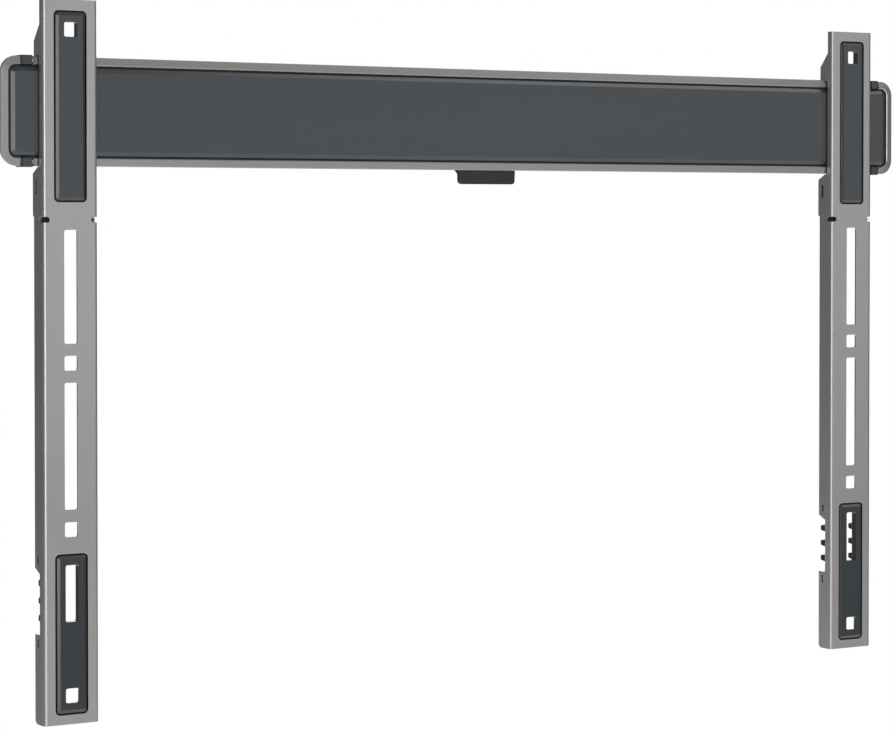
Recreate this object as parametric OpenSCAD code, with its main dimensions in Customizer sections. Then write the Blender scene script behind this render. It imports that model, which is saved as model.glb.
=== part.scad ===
// Flat wall mount for a television: a long rail on the wall and two upright arms that hook over it.
// X runs along the rail, Y goes back to the wall, Z is up. The origin is the rail's centre on the wall face.

/* [Overall] */
// Wall to the front face of the arms
tv_gap = 26; // [24:0.5:40]
// Wall to the front plane of the rail
rail_depth = 20; // [18:0.5:20.5]
// Distance from the rail's end to the middle of an arm at rest
arm_inset = 42; // [40:0.5:280]
// Height of the arms' top hole above the middle of the rail
hole_rise = 49; // [46:0.5:52]

/* [Rail plate] */
// Length of the rail
rail_length = 684; // [600:2:900]
// Height of the rail
rail_height = 65.8; // [64:0.2:70]
// Radius of the rail's outer corners
rail_corner = 10; // [9:0.5:14]
// Thickness of the plate's steel
plate_sheet = 1.5; // [1.2:0.1:1.8]
// Width of the bare rim round the cover
rim_width = 5.2; // [4.8:0.1:5.8]
// How far the rim falls back towards its outer edge
rim_fall = 0.8; // [0.4:0.1:1]
// Chamfer along the rim's inner edge
rim_chamfer = 0.7; // [0.3:0.1:1]
// Small chamfer along the rim's outer edge
rim_edge = 0.3; // [0.1:0.1:0.5]
// Depth of the recess that takes the cover
recess_depth = 2.8; // [2.4:0.1:3.4]
// Length of a screw window in the recess
window_length = 64; // [60:1:84]
// Height of a screw window in the recess
window_height = 28; // [24:1:30]
// Corner radius of a screw window
window_corner = 4; // [2:0.5:6]

/* [Rail channel] */
// Distance from the channel's end to the end stop
channel_end_gap = 12.3; // [6:0.1:30]
// Height of the channel's back, on the wall
channel_height = 36; // [34:0.5:40]
// Thickness of the channel's steel
channel_sheet = 2; // [1.5:0.1:2.4]
// Outer radius of the channel's bends
channel_bend = 2.6; // [2.5:0.1:4]
// Height of each flange behind the plate
channel_flange = 9; // [7:0.5:9.5]
// Number of wall slots on each side of the middle
slots_each_side = 3; // [1:1:3]
// Distance between wall slots
slot_pitch = 100; // [90:2:104]
// Distance from the middle to the first wall slot
first_slot = 60; // [50:2:70]
// Length of a wall slot
slot_length = 40; // [20:1:50]
// Width of a wall slot
slot_width = 6.5; // [5:0.1:8]

/* [Rail cover] */
// Gap round the cover strip
cover_gap = 0.9; // [0.4:0.1:1.2]
// How far the cover stands in front of the rail's front plane
cover_proud = 0.2; // [0:0.1:0.4]
// Width of the bevel round the cover
cover_bevel = 2.9; // [1.5:0.1:3]
// Depth of the bevel round the cover
cover_bevel_depth = 1.2; // [0.6:0.1:1.6]
// Radius of the cover's outer edge
cover_edge = 0.8; // [0.3:0.1:1]
// Width of the foot round the cover, at the bottom of the gap
cover_foot = 0.6; // [0.3:0.1:0.7]
// Distance from the rail's front plane back to the cover's foot
cover_foot_set = 1.7; // [1.4:0.1:2.2]
// Wall of the hollow cover
cover_wall = 1.5; // [1:0.1:1.8]
// Width of a snap hook on the cover
hook_width = 8; // [5:0.5:12]
// Thickness of a snap hook's leg
hook_leg = 1.4; // [1:0.1:1.8]
// How far a snap hook catches behind the plate
hook_catch = 0.8; // [0.5:0.1:1]

/* [End stops] */
// Distance from the rail's end to the inner side of an end stop
stop_inset = 19.7; // [18:0.1:24]
// Length of an end stop along the rail
stop_length = 7; // [5:0.1:7.4]
// How far the stop stands in front of the rim
stop_proud = 0.8; // [0.3:0.1:1]
// How far the stop stands beyond the rim's edge
stop_rise = 0.5; // [0.2:0.1:1]
// Width of the bevel on the stop's outer side
stop_bevel = 1.6; // [0.5:0.1:2]
// Thickness of the stop's bar behind the recess
stop_bar = 3.5; // [2:0.1:5]
// Radius of the peg that locates the stop
stop_peg = 2; // [1.5:0.1:2.5]
// Opening of the rim's notch beside the stop, at the rim's edge
notch_open = 2.3; // [1:0.1:3]
// Opening of the rim's notch beside the stop, at the cover
notch_narrow = 0.7; // [0.3:0.1:1]
// Depth of the ledge that closes the notch beside the stop
ledge_depth = 1.9; // [1.5:0.1:2.2]

/* [Centre tab] */
// Width of the tab at the rail
tab_width = 43.5; // [30:0.5:56]
// How much narrower the tab is at its foot
tab_taper = 0.6; // [0:0.1:2]
// How far the tab hangs below the rail
tab_drop = 9; // [6:0.5:14]
// Radius of the tab's lower corners
tab_corner = 2.3; // [1:0.1:4]
// Thickness of the tab
tab_thick = 2.4; // [1.8:0.1:2.6]
// How far the tab's face lies behind the rail's front plane
tab_setback = 1.4; // [1:0.1:2]

/* [Arms] */
// Width of an arm
arm_width = 36; // [32:0.5:40]
// Length of an arm
arm_length = 435.3; // [434:0.1:460]
// Top of an arm above its top hole
arm_rise = 17.9; // [17:0.1:24]
// Thickness of an arm's steel
arm_sheet = 1.5; // [1.2:0.1:1.6]
// Outer radius of an arm's bends
arm_bend = 2.5; // [2:0.1:2.6]
// Depth of the side at the arm's top
top_depth = 4.7; // [4:0.1:7]
// Depth of the side at the hook, above the rail
hook_depth = 12.9; // [12:0.1:14]
// Depth of the side at the latch, below the rail
latch_depth = 14.9; // [14.6:0.1:17]
// Depth of the side along the arm's foot
foot_depth = 13.3; // [12.5:0.1:14]
// Distance from the top hole down to where the side widens
widen_start = -3; // [-6:0.5:0]
// Distance from the top hole down to the full hook depth
widen_end = 6.8; // [5:0.1:9]
// Length of the hook's tip behind the rail's lip
hook_tip = 3; // [2:0.1:3.2]
// Clearance between the arm and the rail
hang_gap = 0.3; // [0.2:0.05:0.4]
// Clearance between the side's cut-out and the rail's front
front_gap = 0.6; // [0.5:0.05:0.8]
// Drop of the ramp under the rail
ramp_drop = 4; // [3:0.1:4.5]
// Distance from the top hole down to the step under the latch
step_start = 111.2; // [110:0.1:112]
// Height of the step under the latch
step_height = 1.1; // [0.6:0.1:2]

/* [Screw holes] */
// Width of a screw hole
hole_width = 8.6; // [6:0.1:9]
// Height of a screw hole
hole_height = 8.8; // [6:0.1:9]
// Corner radius of a screw hole
hole_corner = 1.2; // [0.6:0.1:2]
// Distance between rows of screw holes
hole_pitch = 100; // [100:0.1:100.5]
// Top of the first slot below the top hole
slot_one_top = 120; // [119:0.1:130]
// Length of the first slot
slot_one_length = 68.3; // [40:0.1:72]
// Top of the second slot below the top hole
slot_two_top = 211.8; // [208:0.1:216]
// Length of the second slot
slot_two_length = 76.2; // [40:0.1:79]
// Top of the third slot below the top hole
slot_three_top = 321.3; // [321:0.1:330]
// Length of the third slot
slot_three_length = 34.3; // [20:0.1:35]

/* [Inserts] */
// Width of the windows in the arm's face
insert_window = 21.4; // [19:0.1:22]
// Corner radius of the windows
insert_corner = 3; // [2.9:0.1:4]
// Top of the upper window above the top hole
upper_window_top = 11.3; // [9:0.1:12]
// Foot of the upper window below the top hole
upper_window_foot = 103.4; // [96:0.1:106]
// Top of the lower window below the top hole
lower_window_top = 314.6; // [313:0.1:316]
// Foot of the lower window below the top hole
lower_window_foot = 411.6; // [408:0.1:412]
// Gap round an insert in its window
insert_gap = 0.9; // [0.4:0.1:1.2]
// How far an insert stands in front of the arm
insert_proud = 0.9; // [0.4:0.1:1.5]
// Width of the bevel round an insert
insert_bevel = 2; // [1:0.1:2.1]
// Depth of the bevel round an insert
insert_bevel_depth = 1.1; // [0.5:0.1:1.4]
// Radius of an insert's outer edge
insert_edge = 0.7; // [0.3:0.1:0.9]
// Wall of the hollow insert
insert_wall = 1.6; // [1.2:0.1:2]
// Width of the rim that holds an insert behind the face
insert_lip = 2.6; // [1.5:0.1:3]
// Depth of the channel in the rim, behind the gap round the insert
rim_moat = 1.5; // [1:0.1:1.8]
// Thickness of the rim behind its channel
rim_thick = 1; // [0.8:0.1:1.2]
// Number of ribs across the back of the upper insert
upper_ribs = 5; // [2:1:8]
// Number of ribs across the back of the lower insert
lower_ribs = 2; // [1:1:3]
// Thickness of a rib
rib_thick = 1.2; // [0.8:0.1:1.6]

/* [Latch] */
// Top of the latch housing below the top hole
housing_top = 85.5; // [85.4:0.1:86.5]
// Foot of the latch housing below the top hole
housing_foot = 118.5; // [117:0.1:119.5]
// Height of the housing's wide part
housing_head = 16; // [14:0.1:18]
// Width of the housing's narrow part
housing_narrow = 27.2; // [24:0.1:28]
// Thickness of the housing's back wall and floor
housing_wall = 1.8; // [1.2:0.1:2]
// Thickness of the housing's roof over the latch's shoulder
housing_roof = 1.5; // [1.2:0.1:2]
// Width of the latch
latch_width = 18; // [14:0.1:20]
// Depth of the latch
latch_thick = 6; // [6:0.1:6.2]
// Depth of the latch's nose
nose_thick = 3.4; // [3:0.1:3.4]
// How far the nose reaches up behind the rail's lip
nose_reach = 2.9; // [2:0.1:3.2]
// Width of the flat on top of the nose
nose_flat = 0.8; // [0.5:0.1:1.5]
// Drop of the slope behind the nose
nose_slope = 4.2; // [3:0.1:5]
// Height of the latch's body under its shoulder
latch_body = 6.7; // [6:0.1:8]
// Running clearance round the latch
latch_gap = 0.3; // [0.2:0.05:0.35]
// How far the latch slides down
latch_travel = 4.5; // [3.5:0.1:5]
// Mean radius of the latch spring's coils
spring_radius = 2.2; // [1.8:0.1:2.3]
// Radius of the spring's wire
spring_wire = 0.35; // [0.25:0.05:0.4]
// Number of turns in the spring
spring_turns = 9; // [6:1:10]
// Middle of the notch through the bends, below the top hole
notch_drop = 113.9; // [113.5:0.1:115]
// Height of the notch through the bends
notch_height = 3.4; // [2.4:0.1:4]
// Reach of the notch into the side, from the arm's face
notch_side = 5.4; // [4:0.1:6]
// Reach of the notch into the face, from the arm's edge
notch_face = 4.5; // [4:0.1:5.5]
// Thickness of the housing's rib that shows in the notch
notch_rib = 0.8; // [0.6:0.1:1.2]
// Middle of the narrow side slot, below the top hole
side_slot_drop = 94.3; // [93.5:0.1:95]
// Height of the narrow side slot
side_slot_height = 8.8; // [6:0.1:9]
// Width of the narrow side slot
side_slot_width = 2.3; // [2:0.1:2.6]
// Distance of the narrow side slot behind the arm's face
side_slot_set = 9.3; // [9:0.1:10]
// Clearance round a snap nub in its slot
nub_gap = 0.2; // [0.1:0.05:0.3]

/* [Toothed frame] */
// Middle of the cut-out in the foot, below the top hole
cutout_drop = 343.2; // [343:0.1:343.6]
// Height of the cut-out in the foot
cutout_height = 40; // [38:0.1:41]
// Depth that is left in front of the cut-out
cutout_front = 6.3; // [5:0.1:7]
// Drop of the slope at the cut-out's top
cutout_slope = 2.6; // [1:0.1:3]
// Distance from the cut-out's middle to each small slit
slit_offset = 25; // [24.6:0.1:25.4]
// Height of a small slit
slit_height = 5; // [4:0.1:5.4]
// Width of a small slit
slit_width = 1.7; // [1.4:0.1:2]
// Distance of a small slit behind the arm's face
slit_set = 8; // [7.5:0.1:8.4]
// Height of the toothed frame
frame_height = 58; // [57:0.1:59]
// Height of the bars that join its two sides
frame_bar = 6.7; // [6:0.1:6.8]
// Distance from a toothed side to the arm's side
frame_gap = 1.2; // [0.8:0.1:2]
// Width of a toothed side
frame_side = 5.7; // [4:0.1:5.8]
// Depth of the bars behind the insert
bar_depth = 6.2; // [6:0.1:6.8]
// Depth of the sides behind the insert
side_depth = 5; // [4.6:0.1:5.3]
// Number of teeth on a side
tooth_count = 3; // [2:1:3]
// Distance between teeth
tooth_pitch = 10.6; // [9:0.1:12]
// Height of a tooth at its root
tooth_root = 5.4; // [4:0.1:6]
// Height of a tooth at its tip
tooth_tip = 3.2; // [2:0.1:4]
// Length of a tooth
tooth_length = 5.4; // [3:0.1:5.6]

/* [Hidden] */
$fn = 48;
// How far a cutter runs past the face it cuts
past = 1;
// The recess wall's outer surface and the back of the recess, measured on the plate
wall_set = rim_width - plate_sheet;
recess_back = recess_depth + plate_sheet;
stop_reach = rail_length / 2 - stop_inset;
channel_length = 2 * (stop_reach - channel_end_gap);
channel_depth = rail_depth - recess_back;
channel_inside = channel_height / 2 - channel_sheet;
// Outline of the cover strip
cover_inset = rim_width + cover_gap;
cover_length = rail_length - 2 * cover_inset;
cover_height = rail_height - 2 * cover_inset;
cover_corner = rail_corner - cover_inset;
// Heights of the rail's edges, measured from the arm's top hole
rail_top = rail_height / 2 - hole_rise;
rail_foot = -rail_height / 2 - hole_rise;
// Depths of the rail's front plane and of the back of its lip, measured behind the arm's face
rail_front = tv_gap - rail_depth;
lip_back = rail_front + rim_fall + plate_sheet;
arm_inside = arm_width - 2 * arm_sheet;
frame_inner = arm_inside / 2 - frame_gap - frame_side;
arm_foot = arm_rise - arm_length;
// The latch: its front, the middle of its spring and its levels
nose_front = lip_back + 2 * hang_gap;
latch_back = nose_front + nose_thick;
latch_front = latch_back - latch_thick;
spring_set = latch_back - latch_thick / 2;
nose_top = rail_foot + nose_reach;
shoulder = -housing_top - housing_roof - latch_gap;
latch_foot = shoulder - latch_body;
spring_bore = spring_radius + spring_wire + latch_gap;
spring_floor = -housing_foot + housing_wall;
spring_pocket = 3.5;
// Depth of an insert's back behind the arm's face, and its whole thickness
rim_back = arm_sheet + rim_moat + rim_thick;
insert_thick = rim_back + insert_proud;

// Front surface of the sloped rim, at a distance inside its outer edge
function rim_face(inside) = rim_fall * (1 - inside / (rim_width - rim_chamfer));

// Outline of a rectangle with round corners
module rounded(width, height, corner) {
    square([width - 2 * corner, height], center = true);
    square([width, height - 2 * corner], center = true);
    for (x = [-1, 1], y = [-1, 1])
        translate([x * (width / 2 - corner), y * (height / 2 - corner)]) circle(corner);
}

// The same outline between two levels
module rounded_between(width, top, foot, corner) {
    translate([0, (top + foot) / 2]) rounded(width, top - foot, corner);
}

// A flat piece parallel to the wall, its outline drawn in X and Z
module facing(depth, thick) {
    translate([0, depth + thick, 0]) rotate([90, 0, 0]) linear_extrude(thick) children();
}

// A piece with a constant section along X, its section drawn in Y and Z
module along(start, length) {
    translate([start, 0, 0]) rotate([90, 0, 90]) linear_extrude(length) children();
}

// A section swept round a rectangle with round corners: X is outwards, Y is the depth
module swept_round(width, height, corner) {
    for (side = [0, 1]) {
        mirror([side, 0, 0]) translate([width / 2, 0, 0])
            linear_extrude(height - 2 * corner, center = true) children();
        mirror([0, 0, side]) translate([0, 0, height / 2]) rotate([0, -90, 0])
            linear_extrude(width - 2 * corner, center = true) children();
    }
    for (place = [[1, 1, -90], [-1, 1, 180], [-1, -1, 90], [1, -1, 0]])
        translate([place[0] * (width / 2 - corner), 0, place[1] * (height / 2 - corner)])
            rotate([-90, 0, 0]) rotate([0, 0, place[2]])
                rotate_extrude(angle = 90) translate([corner, 0]) children();
}

// A plate with a bevel round its face, and a rounded edge outside the bevel
module bevelled(width, height, corner, bevel, bevel_depth, edge, face, back) {
    slope = norm([bevel, bevel_depth]);
    turn = face + bevel_depth + edge * (slope - bevel_depth) / bevel;
    facing(face, back - face) rounded(width - 2 * bevel, height - 2 * bevel, corner - bevel + 0.01);
    swept_round(width, height, corner) {
        polygon([
            [-bevel, face],
            [edge * (bevel_depth / slope - 1), turn - edge * bevel / slope],
            [0, turn], [0, back], [-bevel, back]]);
        translate([-edge, turn]) circle(edge);
    }
}

// A quarter of a bent sheet's section
module bend(radius, sheet, turn) {
    rotate(turn) intersection() {
        square(radius);
        difference() {
            circle(radius);
            circle(radius - sheet);
        }
    }
}

// The rim, the lip behind it and the wall down to the recess
module rim_section() {
    polygon([
        [0, rim_fall + rim_edge],
        [-rim_edge, rim_face(rim_edge)],
        [rim_chamfer - rim_width, 0],
        [-rim_width, rim_chamfer],
        [-rim_width, recess_back],
        [-wall_set, recess_back],
        [-wall_set, rim_face(wall_set) + plate_sheet],
        [0, rim_fall + plate_sheet]]);
}

// Middles of the screw windows and wall slots
function slot_places() = [for (side = [-1, 1], i = [0 : slots_each_side - 1])
    side * (first_slot + i * slot_pitch)];

// The notch in the rim beside an end stop, on the right and above
module rim_notch() {
    inner = rail_height / 2 - rim_width;
    outer = rail_height / 2;
    far = stop_reach + stop_length + nub_gap;
    facing(-2 * past, 2 * past + recess_depth) polygon([
        [stop_reach - notch_narrow, inner], [stop_reach - notch_open, outer],
        [stop_reach - notch_open, outer + past], [far, outer + past], [far, inner]]);
}

module rail_plate() {
    color([0.47, 0.46, 0.44]) translate([0, -rail_depth, 0]) difference() {
        union() {
            swept_round(rail_length, rail_height, rail_corner) rim_section();
            facing(recess_depth, plate_sheet)
                rounded(rail_length - 2 * wall_set, rail_height - 2 * wall_set, rail_corner - wall_set);
        }
        for (x = slot_places()) translate([x, 0, 0])
            facing(recess_depth - past, plate_sheet + 2 * past)
                rounded(window_length, window_height, window_corner);
        for (side = [0, 1], up = [0, 1])
            mirror([side, 0, 0]) mirror([0, 0, up]) rim_notch();
        for (side = [-1, 1]) translate([side * (stop_reach + stop_length / 2), 0, 0])
            facing(recess_depth - past, plate_sheet + 2 * past) circle(stop_peg + nub_gap);
    }
}

// Half of the channel's section, folded out to a flange behind the plate
module channel_half() {
    inner = channel_inside;
    translate([-channel_sheet, 0]) square([channel_sheet, channel_height / 2 - channel_bend]);
    translate([-channel_bend, channel_height / 2 - channel_bend]) bend(channel_bend, channel_sheet, 0);
    translate([-channel_depth + channel_bend, inner])
        square([channel_depth - 2 * channel_bend, channel_sheet]);
    translate([-channel_depth + channel_bend, inner + channel_bend]) bend(channel_bend, channel_sheet, 180);
    translate([-channel_depth, inner + channel_bend])
        square([channel_sheet, channel_flange - channel_bend]);
}

module rail_channel() {
    color([0.42, 0.42, 0.41]) difference() {
        along(-channel_length / 2, channel_length) {
            channel_half();
            mirror([0, 1]) channel_half();
        }
        for (x = slot_places()) translate([x, 0, 0])
            facing(-channel_sheet - past, channel_sheet + 2 * past)
                rounded(slot_length, slot_width, slot_width / 2 - 0.001);
    }
}

// One snap hook of the cover, catching on the upper edge of a window
module snap_hook() {
    edge = window_height / 2 - nub_gap;
    along(-hook_width / 2, hook_width) polygon([
        [cover_wall - cover_proud, edge - hook_leg], [cover_wall - cover_proud, edge],
        [recess_back + nub_gap, edge], [recess_back + nub_gap, edge + hook_catch],
        [recess_back + nub_gap + 0.6, edge + hook_catch],
        [recess_back + 1.6, edge - 0.2], [recess_back + 1.6, edge - hook_leg]]);
}

module rail_cover() {
    color([0.24, 0.26, 0.27]) translate([0, -rail_depth, 0]) {
        difference() {
            union() {
                bevelled(cover_length, cover_height, cover_corner, cover_bevel, cover_bevel_depth,
                    cover_edge, -cover_proud, recess_depth);
                facing(cover_foot_set, recess_depth - cover_foot_set)
                    rounded(cover_length + 2 * cover_foot, cover_height + 2 * cover_foot,
                        cover_corner + cover_foot);
            }
            hollow = cover_bevel + cover_wall;
            facing(cover_wall - cover_proud, recess_depth)
                rounded(cover_length - 2 * hollow, cover_height - 2 * hollow, 2);
        }
        for (x = slot_places(), up = [0, 1])
            translate([x, 0, 0]) mirror([0, 0, up]) snap_hook();
    }
}

// An end stop for the right end: a bar behind the recess, an ear through each notch and a peg
module end_stop() {
    ear_foot = rail_height / 2 - rim_width + nub_gap;
    ear_top = rail_height / 2 + stop_rise;
    bar_top = rail_height / 2 - wall_set + nub_gap;
    bar_back = recess_back + stop_bar;
    face = rim_face(rim_width - rim_chamfer) - stop_proud;
    ledge_back = recess_depth - nub_gap;
    color([0.25, 0.26, 0.26]) translate([stop_reach, -rail_depth, 0]) {
        for (up = [0, 1]) mirror([0, 0, up]) {
            translate([0, 0, ear_foot]) linear_extrude(ear_top - ear_foot) polygon([
                [0, face], [stop_length - stop_bevel, face], [stop_length, face + stop_bevel],
                [stop_length, ledge_back], [0, ledge_back]]);
            facing(ledge_depth, ledge_back - ledge_depth) polygon([
                [nub_gap - notch_narrow, ear_foot], [nub_gap - notch_open, rail_height / 2],
                [stop_length / 2, rail_height / 2], [stop_length / 2, ear_foot]]);
            translate([0, ledge_back - past, bar_top])
                cube([stop_length, bar_back - ledge_back + past, ear_top - bar_top]);
        }
        translate([0, recess_back, -bar_top - past])
            cube([stop_length, stop_bar, 2 * bar_top + 2 * past]);
        translate([stop_length / 2, recess_back + past, 0]) rotate([90, 0, 0])
            cylinder(r = stop_peg, h = plate_sheet + past);
    }
}

module left_end_stop() {
    mirror([1, 0, 0]) end_stop();
}

module right_end_stop() {
    end_stop();
}

module centre_tab() {
    top = rail_height / 2 - wall_set + nub_gap;
    edge = rail_height / 2 + nub_gap;
    foot = rail_height / 2 + tab_drop;
    behind = rim_fall + plate_sheet + nub_gap;
    leaf = channel_inside + channel_flange + nub_gap;
    color([0.2, 0.21, 0.22]) translate([0, -rail_depth, 0]) intersection() {
        along(-tab_width / 2, tab_width) polygon([
            [tab_setback, -foot], [tab_setback, -edge], [behind, -edge], [behind, -top],
            [recess_back, -top], [recess_back, -leaf],
            [recess_back + tab_thick, -leaf], [recess_back + tab_thick, -edge],
            [tab_setback + tab_thick, -edge - 2], [tab_setback + tab_thick, -foot]]);
        facing(0, recess_back + tab_thick + past) {
            polygon([
                [-tab_width / 2, 0], [-tab_width / 2, -edge],
                [-tab_width / 2 + tab_taper / 2, -foot + tab_corner],
                [-tab_width / 2 + tab_taper / 2 + tab_corner, -foot],
                [tab_width / 2 - tab_taper / 2 - tab_corner, -foot],
                [tab_width / 2 - tab_taper / 2, -foot + tab_corner],
                [tab_width / 2, -edge], [tab_width / 2, 0]]);
            for (side = [-1, 1])
                translate([side * (tab_width / 2 - tab_taper / 2 - tab_corner), -foot + tab_corner])
                    circle(tab_corner);
        }
    }
}

// Places what follows on the left or right arm, measured from its top hole on its face
module on_arm(side) {
    translate([side * (rail_length / 2 - arm_inset), -tv_gap, hole_rise]) children();
}

// Section of the folded channel, open at the back
module arm_section(width, depth, radius, front) {
    translate([-width / 2, front + radius]) square([width, depth - front - radius]);
    translate([radius - width / 2, front]) square([width - 2 * radius, radius + 0.01]);
    for (side = [-1, 1]) translate([side * (width / 2 - radius), front + radius]) circle(radius);
}

// Outline of the arm's sides, drawn in depth and height
module side_outline() {
    hook_front = lip_back + hang_gap;
    throat = rail_front - front_gap;
    throat_top = rail_top + hang_gap;
    ramp_top = rail_foot - hang_gap;
    difference() {
        polygon([
            [-past, arm_rise], [top_depth, arm_rise],
            [top_depth, -widen_start], [hook_depth, -widen_end],
            [hook_depth, rail_top - hook_tip + 1], [hook_depth - 1, rail_top - hook_tip],
            [hook_front, rail_top - hook_tip], [hook_front, throat_top],
            [throat, throat_top], [throat, ramp_top],
            [throat + 2, ramp_top], [latch_depth, ramp_top - ramp_drop],
            [latch_depth, -step_start], [foot_depth, -step_start - step_height],
            [foot_depth, arm_foot + 2], [foot_depth - 2, arm_foot], [-past, arm_foot]]);
        foot_cutout();
        translate([side_slot_set + side_slot_width / 2, -side_slot_drop])
            rounded(side_slot_width, side_slot_height, 0.4);
        for (end = [-1, 1]) translate([slit_set + slit_width / 2, -cutout_drop + end * slit_offset])
            rounded(slit_width, slit_height, 0.4);
    }
}

// The open stretch of the sides where the teeth show
module foot_cutout() {
    top = -cutout_drop + cutout_height / 2;
    foot = -cutout_drop - cutout_height / 2;
    fillet = 1.5;
    translate([cutout_front + fillet, foot])
        square([foot_depth - cutout_front, cutout_height - cutout_slope]);
    translate([cutout_front, foot + fillet])
        square([foot_depth, cutout_height - cutout_slope - 2 * fillet]);
    for (level = [foot + fillet, top - cutout_slope - fillet])
        translate([cutout_front + fillet, level]) circle(fillet);
    polygon([
        [cutout_front + fillet, top - cutout_slope], [foot_depth - 1.5, top - 0.6],
        [foot_depth, top], [foot_depth + past, top + 0.8], [foot_depth + past, foot],
        [cutout_front + fillet, foot]]);
}

// The notch through one bend
module bend_notch() {
    radius = notch_height / 2;
    translate([0, 0, -notch_drop]) {
        facing(-past, arm_bend + past) {
            translate([-arm_width / 2 - past, -radius]) square([notch_face + past - radius, notch_height]);
            translate([-arm_width / 2 + notch_face - radius, 0]) circle(radius);
        }
        along(-arm_width / 2 - past, arm_bend + past) {
            translate([-past, -radius]) square([notch_side + past - radius, notch_height]);
            translate([notch_side - radius, 0]) circle(radius);
        }
    }
}

// Outlines of the screw holes and slots
module hole_outline(row) {
    translate([0, -row * hole_pitch]) rounded(hole_width, hole_height, hole_corner);
}

module slot_outline(top, length) {
    rounded_between(hole_width, -top, -top - length, hole_corner);
}

module arm() {
    color([0.6, 0.59, 0.57]) difference() {
        intersection() {
            translate([0, 0, arm_foot]) linear_extrude(arm_length) difference() {
                arm_section(arm_width, latch_depth + past, arm_bend, 0);
                arm_section(arm_inside, latch_depth + 2 * past, arm_bend - arm_sheet, arm_sheet);
            }
            along(-arm_width, 2 * arm_width) side_outline();
        }
        facing(-past, arm_sheet + 2 * past) {
            rounded_between(insert_window, upper_window_top, -upper_window_foot, insert_corner);
            rounded_between(insert_window, -lower_window_top, -lower_window_foot, insert_corner);
            slot_outline(slot_one_top, slot_one_length);
            hole_outline(2);
            slot_outline(slot_two_top, slot_two_length);
            hole_outline(3);
        }
        bend_notch();
        mirror([1, 0, 0]) bend_notch();
    }
}

// Outline of the window, grown or shrunk all round
module window_outline(top, foot, grown) {
    rounded_between(insert_window + 2 * grown, top + grown, foot - grown, max(0.5, insert_corner + grown));
}

// The rim behind the arm's face, with a channel behind the gap so that the gap reads deep
module insert_rim(top, foot) {
    facing(arm_sheet, rim_moat + rim_thick) difference() {
        window_outline(top, foot, insert_lip);
        window_outline(top, foot, insert_gap / 2);
    }
    facing(arm_sheet + rim_moat, rim_thick) difference() {
        window_outline(top, foot, insert_lip);
        window_outline(top, foot, -insert_gap - insert_bevel / 2);
    }
}

// A hollow insert behind a window of the arm, with its holes as children
module insert(top, foot, rib_count, boss_top, boss_foot) {
    width = insert_window - 2 * insert_gap;
    height = top - foot - 2 * insert_gap;
    corner = insert_corner - insert_gap;
    boss_width = hole_width + 2 * insert_wall;
    pocket = height - 2 * insert_bevel - 2 * insert_wall;
    color([0.27, 0.29, 0.31]) difference() {
        union() {
            translate([0, 0, (top + foot) / 2])
                bevelled(width, height, corner, insert_bevel, insert_bevel_depth,
                    insert_edge, -insert_proud, rim_back);
            insert_rim(top, foot);
        }
        difference() {
            translate([0, 0, (top + foot) / 2])
                facing(insert_wall - insert_proud, insert_thick)
                    rounded(width - 2 * insert_bevel - 2 * insert_wall, pocket, 1);
            facing(-insert_proud, insert_thick + past) {
                translate([-boss_width / 2, boss_foot - insert_wall])
                    square([boss_width, boss_top - boss_foot + 2 * insert_wall]);
                for (i = [1 : rib_count])
                    translate([-width / 2, (top + foot) / 2 - pocket / 2 + i * pocket / (rib_count + 1)])
                        square([width, rib_thick]);
            }
        }
        facing(-insert_proud - past, insert_thick + 2 * past) children();
    }
}

module upper_insert() {
    insert(upper_window_top, -upper_window_foot, upper_ribs, hole_height / 2, -hole_height / 2)
        hole_outline(0);
}

module lower_insert() {
    difference() {
        insert(-lower_window_top, -lower_window_foot, lower_ribs,
            -slot_three_top, -slot_three_top - slot_three_length)
            slot_outline(slot_three_top, slot_three_length);
        facing(-insert_proud - past, insert_thick + 2 * past) hole_outline(4);
    }
}

// A moulded frame whose teeth point to the wall on both sides of the third slot
module toothed_frame() {
    bar_width = arm_inside - 4 * nub_gap;
    color([0.1, 0.1, 0.1]) translate([0, rim_back, -cutout_drop]) {
        for (end = [-1, 1]) {
            translate([0, 0, end * (frame_height - frame_bar) / 2])
                facing(0, bar_depth) square([bar_width, frame_bar], center = true);
            translate([0, slit_set + nub_gap - rim_back, end * slit_offset])
                facing(0, slit_width - 2 * nub_gap)
                    square([arm_inside + arm_sheet, slit_height - 2 * nub_gap], center = true);
        }
        for (side = [0, 1]) mirror([side, 0, 0]) {
            translate([frame_inner, 0, 0]) facing(0, side_depth)
                translate([0, -frame_height / 2]) square([frame_side, frame_height]);
            for (i = [0 : tooth_count - 1])
                translate([0, side_depth, (i - (tooth_count - 1) / 2) * tooth_pitch])
                    along(frame_inner, frame_side) polygon([
                        [0, -tooth_root / 2], [tooth_length, -tooth_tip / 2],
                        [tooth_length, tooth_tip / 2], [0, tooth_root / 2]]);
        }
    }
}

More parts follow.
